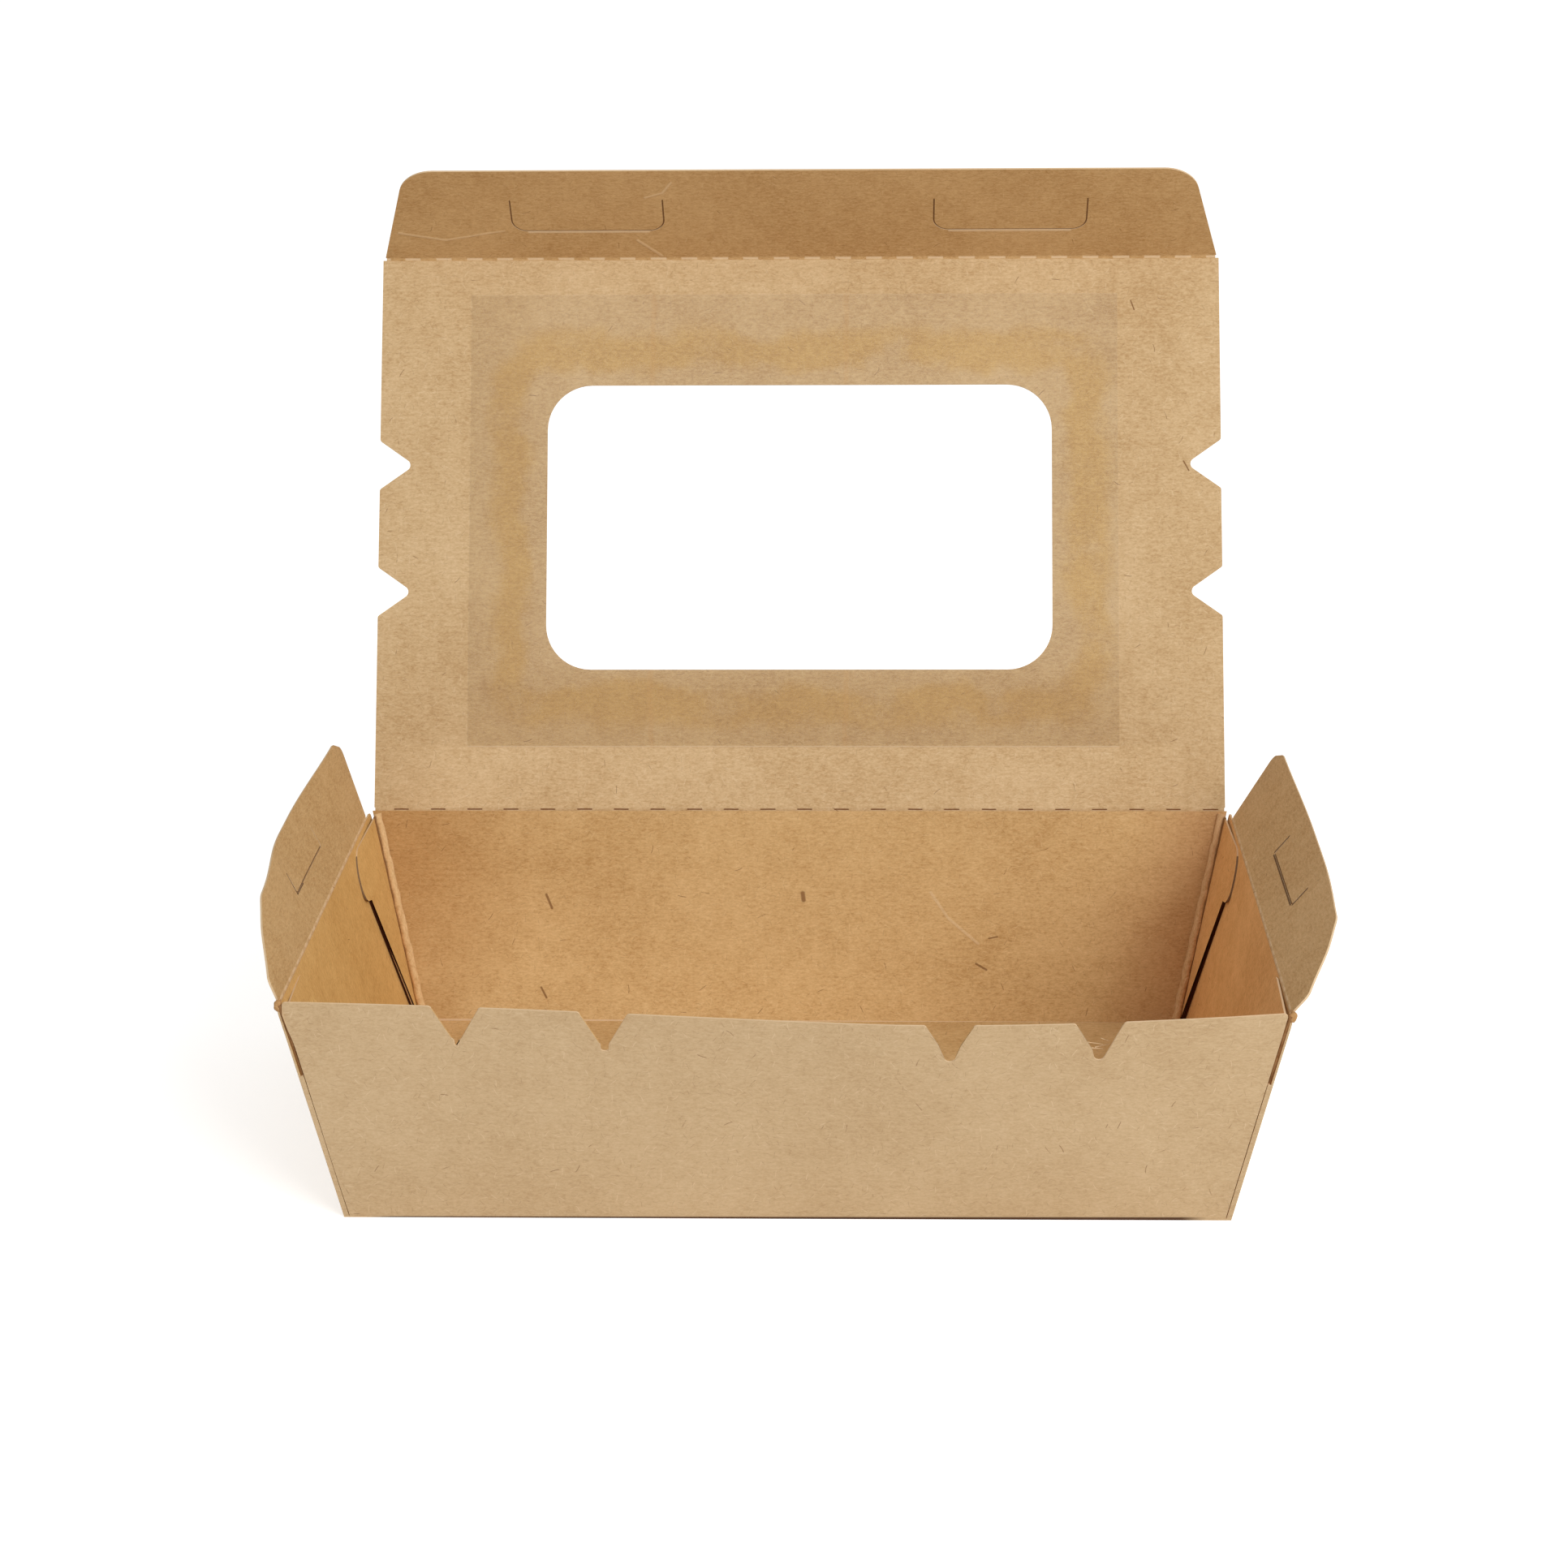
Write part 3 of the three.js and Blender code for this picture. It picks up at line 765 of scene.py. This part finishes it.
def foldStrip(name, joint, sides, ends, material, shape, twist=None):
    first, second = sides
    bead, waves = shape
    along = Vector((1, 0, 0)) if abs(joint["axis"][0]) > 0.5 else Vector((0, 1, 0))
    origin = Vector(joint["pos_m"])
    origin -= along * origin.dot(along)
    reach, bend = folds["reach"] * mm, folds["round"] * mm
    strip = bpy.data.objects.new(name, bpy.data.meshes.new(name))
    bpy.context.collection.objects.link(strip)
    mesh = slab(round((ends[1] - ends[0]) / 1.2), 14)
    uv, outer = layers(mesh)[:2]
    for face in mesh.faces:
        for loop in face.loops:
            x, y, _ = loop.vert.co
            loop[uv].uv = ((ends[0] + (x + 1) / 2 * (ends[1] - ends[0])) * mm, y * reach)
    for face in mesh.faces:
        face[outer] = 1.0 if face.calc_center_median().z < -0.9 else 0.0
    for vert in mesh.verts:
        x, y, depth = vert.co
        place = (ends[0] + (x + 1) / 2 * (ends[1] - ends[0])) * mm
        s = y * reach
        t = min(max((s + bend) / (2 * bend), 0), 1)
        if s < -bend:
            path = first[0] * -s
        elif s > bend:
            path = second[0] * s
        else:
            path = first[0] * bend * (1 - t) ** 2 + second[0] * bend * t ** 2
        normal = (first[1] * (1 - t) + second[1] * t).normalized()
        hump = bead * max(0, 1 - (s / (0.55 * mm)) ** 2) * (1 + waves * math.sin(place / mm * 0.86))
        lift = -folds["sink"] * mm + (hump * mm if depth > -0.5 else -folds["thickness"] * mm)
        vert.co = origin + along * place + path + normal * lift
        if twist:
            vert.co = turnedIn(vert.co, origin, along, second[0], second[1], t * twist(place / mm))
            vert.co = lifted(vert.co)
    bmesh.ops.recalc_face_normals(mesh, faces=mesh.faces[:])
    finishPiece(strip, mesh, material, 50.0)
    start, end = origin + first[0] * 0.36 * mm, origin + second[0] * 0.36 * mm
    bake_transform(strip)


# painted shade in the cuts through the lid's fold
cutThrough = dashed(8.6, 0.44, -0.4, 0.2, srgb(102, 50, 20), 0.85, -3.0, 0.6)
# painted highlights on the raised beads of the tuck and side folds
beads = dashed(7.3, 0.55, 1.0, 0.5, kraft["lightFibreAndHighlight"], 0.55, 2.0, 0.2)
sideBeads = dashed(5.2, 0.6, 0.0, 0.4, kraft["lightFibreAndHighlight"], 0.4, 1.5, 0.3)
finish, shape = kraftFinish("lidFoldBoard", [cutThrough], marksAndPaintedLight["lidTint"]), folds["lidBead"]
atFold, bodies, ends = (wallSide((0, 1, 0)), lidSide[1:]), ("tray", "lid"), folds["lidEnds"]
foldStrip("lidFold", joints["lid_fold"], atFold, ends, finish, shape)
finish, shape = kraftFinish("tuckFoldBoard", [beads], marksAndPaintedLight["tuckTint"]), folds["tuckBead"]
atFold, bodies, ends = ((-lidSide[1], lidSide[2]), tuckSide[1:]), ("lid", "tuck_flap"), folds["tuckEnds"]
foldStrip("tuckFold", joints["tuck_fold"], atFold, ends, finish, shape)
for side, outwards in (("left", -1), ("right", 1)):
    joint, twist, bodies = joints[side + "_side_fold"], twistOf(side), ("tray", side + "_side_flap")
    finish, shape = kraftFinish(side + "FoldBoard", [sideBeads]), folds["sideBead"]
    atFold, ends = (wallSide((outwards, 0, 0)), flapSides[side][1:]), folds["sideEnds"]
    foldStrip(side + "Fold", joint, atFold, ends, finish, shape, twist)
print("folds made")


# Slits: the board round a cut springs back to its place, so that no light comes through; a dark-tinted sheet
# inside the board shows in each slit as painted shade
slits = {
    "depth": 0.18,  # under the panel's inner face
    "thickness": 0.1,
    "tuck": [(-49.4, 15.2, 19.2, 7.0), (49.4, 15.2, 19.2, 7.0)],  # middle across and up, half sizes
    "side": [(0.0, 10.2, 18.2, 3.6)],
}


def slitBacking(name, places, joint, panel, body, material, twist=None):
    across, up, inward = panel
    origin = Vector(joint["pos_m"])
    origin -= across * origin.dot(across)
    for number, (middleX, middleY, halfX, halfY) in enumerate(places):
        piece = bpy.data.objects.new(name + str(number), bpy.data.meshes.new(name + str(number)))
        bpy.context.collection.objects.link(piece)
        mesh = slab(16, 2)
        uv = layers(mesh)[0]
        for face in mesh.faces:
            for loop in face.loops:
                loop[uv].uv = (loop.vert.co.x * halfX * mm, loop.vert.co.y * halfY * mm)
        for vert in mesh.verts:
            x, y = middleX + vert.co.x * halfX, middleY + vert.co.y * halfY
            depth = slits["depth"] - vert.co.z * slits["thickness"]
            vert.co = origin + (across * x + up * y - inward * depth) * mm
            if twist:
                vert.co = lifted(turnedIn(vert.co, origin, across, up, inward, twist(x)))
        bmesh.ops.recalc_face_normals(mesh, faces=mesh.faces[:])
        finishPiece(piece, mesh, material)
        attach(piece, body)


# the backing's dark tint is painted shade in the slits
gapFinish = kraftFinish("slitShade", tint=(0.34, 0.26, 0.2))
slitBacking("tuckSlit", slits["tuck"], joints["tuck_fold"], tuckSide, "tuck_flap", gapFinish)
for side in ("left", "right"):
    joint, body, panel = joints[side + "_side_fold"], side + "_side_flap", flapSides[side]
    slitBacking(side + "Slit", slits["side"], joint, panel, body, gapFinish, twistOf(side))
print("slits backed")


# Corners: each back corner's fold is a rolled bead from the bottom to the rim, tinted lighter as a painted
# highlight, with a dark roll beside it as painted shade in the gap between it and the glue flap. At the front
# a dark roll paints the shade between the front wall's edge and the end wall, where the layers show.
cornerRolls = {
    "": {"radius": 0.95, "foot": (88.4, 55.9, 1.2), "head": (98.7, 65.3, 48.6)},
    "Gap": {"radius": 0.3, "foot": (91.6, 57.9, 12.0), "head": (99.3, 64.1, 48.2)},
    "Seam": {"radius": 0.5, "foot": (96.2, -61.1, 29.0), "head": (100.3, -65.7, 48.2)},
}
# the beads' tints are painted highlights; the gap and seam rolls' tints are painted shade
cornerTints = {
    "left": (1.14, 1.12, 1.04),
    "right": (1.1, 1.02, 0.96),
    "Gap": (0.42, 0.3, 0.2),
    "Seam": (0.46, 0.34, 0.25),
}


def cornerBead(side, sign, roll, tint):
    foot, head = (Vector((sign * roll[end][0], *roll[end][1:])) * mm for end in ("foot", "head"))
    piece = bpy.data.objects.new(side + "Bead", bpy.data.meshes.new(side + "Bead"))
    bpy.context.collection.objects.link(piece)
    mesh = bmesh.new()
    radius, length = roll["radius"] * mm, (head - foot).length
    turned = (head - foot).to_track_quat("Z", "Y").to_matrix().to_4x4()
    bmesh.ops.create_cone(mesh, cap_ends=True, segments=12, radius1=radius, radius2=radius, depth=length)
    for step in range(1, 30):
        everything = mesh.verts[:] + mesh.edges[:] + mesh.faces[:]
        height = length * (step / 30 - 0.5)
        bmesh.ops.bisect_plane(mesh, geom=everything, dist=1e-7, plane_co=(0, 0, height), plane_no=(0, 0, 1))
    for vert in mesh.verts:
        along = vert.co.z / mm
        vert.co.x += (0.12 * math.sin(along * 0.9) + 0.08 * math.sin(along * 2.3 + sign)) * mm
    uv = layers(mesh)[0]
    for face in mesh.faces:
        for loop in face.loops:
            loop[uv].uv = (loop.vert.co.z, loop.vert.co.x + 0.2)
    mesh.transform(Matrix.Translation((foot + head) / 2) @ turned)
    for vert in mesh.verts:
        vert.co = lifted(vert.co, False)
    finishPiece(piece, mesh, kraftFinish(side + "BeadBoard", tint=tint), 50.0)
    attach(piece, "tray")


for side, sign in (("left", -1), ("right", 1)):
    for kind, roll in cornerRolls.items():
        cornerBead(side + kind, sign, roll, cornerTints[kind or side])
print("corner beads made")


# Board torn at the cuts: a crushed lump at each front corner of the rim, fibres in one notch
torn = {
    "lump": 0.8,
    "lumpPlace": (100.7, -65.4, 47.9),
    "lumpTint": (0.74, 0.6, 0.45),
    "fibreTint": (1.3, 1.42, 1.6),
    "fibres": [  # place, turn in degrees, length, radius
        ((61.5, -64.6, 42.0), 8.0, 4.0, 0.1),
        ((63.4, -64.5, 41.4), -14.0, 3.0, 0.12),
        ((62.4, -64.5, 40.8), 3.0, 2.2, 0.14),
        ((63.9, -64.6, 42.7), 20.0, 1.8, 0.08),
    ],
}


def tornPiece(name, mesh, tint):
    piece = bpy.data.objects.new(name, bpy.data.meshes.new(name))
    bpy.context.collection.objects.link(piece)
    uv = layers(mesh)[0]
    for face in mesh.faces:
        for loop in face.loops:
            loop[uv].uv = (loop.vert.co.x, loop.vert.co.z)
    finishPiece(piece, mesh, kraftFinish(name + "Board", tint=tint), 60.0)
    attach(piece, "tray")


def frontCornerLump(side, sign):
    mesh = bmesh.new()
    bmesh.ops.create_icosphere(mesh, subdivisions=3, radius=torn["lump"] * mm)
    for vert in mesh.verts:
        x, y, z = vert.co / mm
        vert.co *= 1 + 0.16 * math.sin(x * 3.1 + y * 2.3) + 0.12 * math.sin(z * 4.7 + y * 3.9 + sign)
        vert.co.z *= 1.5
    x, y, z = torn["lumpPlace"]
    mesh.transform(Matrix.Translation(lifted(Vector((sign * x, y, z)) * mm)))
    tornPiece(side + "Lump", mesh, torn["lumpTint"])


def notchFibres():
    mesh = bmesh.new()
    for place, turn, length, radius in torn["fibres"]:
        pose = Matrix.Translation(Vector(place) * mm) @ Matrix.Rotation(math.radians(90 + turn), 4, "Y")
        sizes = {"radius1": radius * mm, "radius2": radius * 0.5 * mm, "depth": length * mm}
        bmesh.ops.create_cone(mesh, cap_ends=True, segments=8, matrix=pose, **sizes)
    tornPiece("notchFibres", mesh, torn["fibreTint"])


frontCornerLump("left", -1)
frontCornerLump("right", 1)
notchFibres()
print("torn edges made")


# The clear film
film = {"roughness": 0.06, "alpha": 0.03, "bending": 1.5}


def dressFilm():
    finish = Finish("clearFilm")
    finish.set("Base Color", (1, 1, 1, 1))
    finish.set("Roughness", film["roughness"])
    finish.set("Alpha", film["alpha"])
    finish.set("IOR", film["bending"])
    frame["nodes"]["window_film"].material_slots[0].material = finish.material


dressFilm()
print("film dressed")


# Studio
studio = {
    "floorColour": (0.93, 0.93, 0.92),
    "floorGlow": 0.52,
    "worldStrength": 0.57,
    "keyWatts": 18.5,
    "keyPlace": (0.9, -1.3, 1.0),
}


def makeStudio():
    floor = bpy.data.objects.new("floor", bpy.data.meshes.new("floor"))
    mesh = bmesh.new()
    bmesh.ops.create_grid(mesh, x_segments=1, y_segments=1, size=20)
    mesh.to_mesh(floor.data)
    mesh.free()
    finish = Finish("floor")
    finish.set("Base Color", (*studio["floorColour"], 1))
    finish.set("Roughness", 0.9)
    glow = finish.add("ShaderNodeEmission", {}, {"Color": (1, 1, 1, 1), "Strength": studio["floorGlow"]})
    lit = finish.add("ShaderNodeAddShader", {}, [finish.surfaceOut(), glow])
    rays = finish.add("ShaderNodeLightPath").socket.node.outputs
    direct = Sock(finish, rays["Is Camera Ray"]) + Sock(finish, rays["Is Glossy Ray"])
    direct = (direct + Sock(finish, rays["Is Transmission Ray"])).math("MINIMUM", 1.0)
    seen = finish.add("ShaderNodeMixShader", {}, [direct, finish.surfaceOut(), lit])
    finish.link(seen, finish.tree.nodes["Material Output"].inputs["Surface"])
    floor.data.materials.append(finish.material)
    bpy.context.collection.objects.link(floor)
    world = bpy.data.worlds.new("studio")
    world.use_nodes = True
    world.node_tree.nodes["Background"].inputs[0].default_value = (1, 1, 1, 1)
    world.node_tree.nodes["Background"].inputs[1].default_value = studio["worldStrength"]
    bpy.context.scene.world = world
    lamp = bpy.data.lights.new("key", "AREA")
    lamp.size = 1.0
    lamp.energy = studio["keyWatts"]
    key = bpy.data.objects.new("key", lamp)
    place = Vector(studio["keyPlace"])
    key.matrix_world = Matrix.Translation(place) @ (-place).to_track_quat("-Z", "Y").to_matrix().to_4x4()
    bpy.context.collection.objects.link(key)


makeStudio()
bpy.context.scene.view_settings.view_transform = "Standard"
print("studio made")
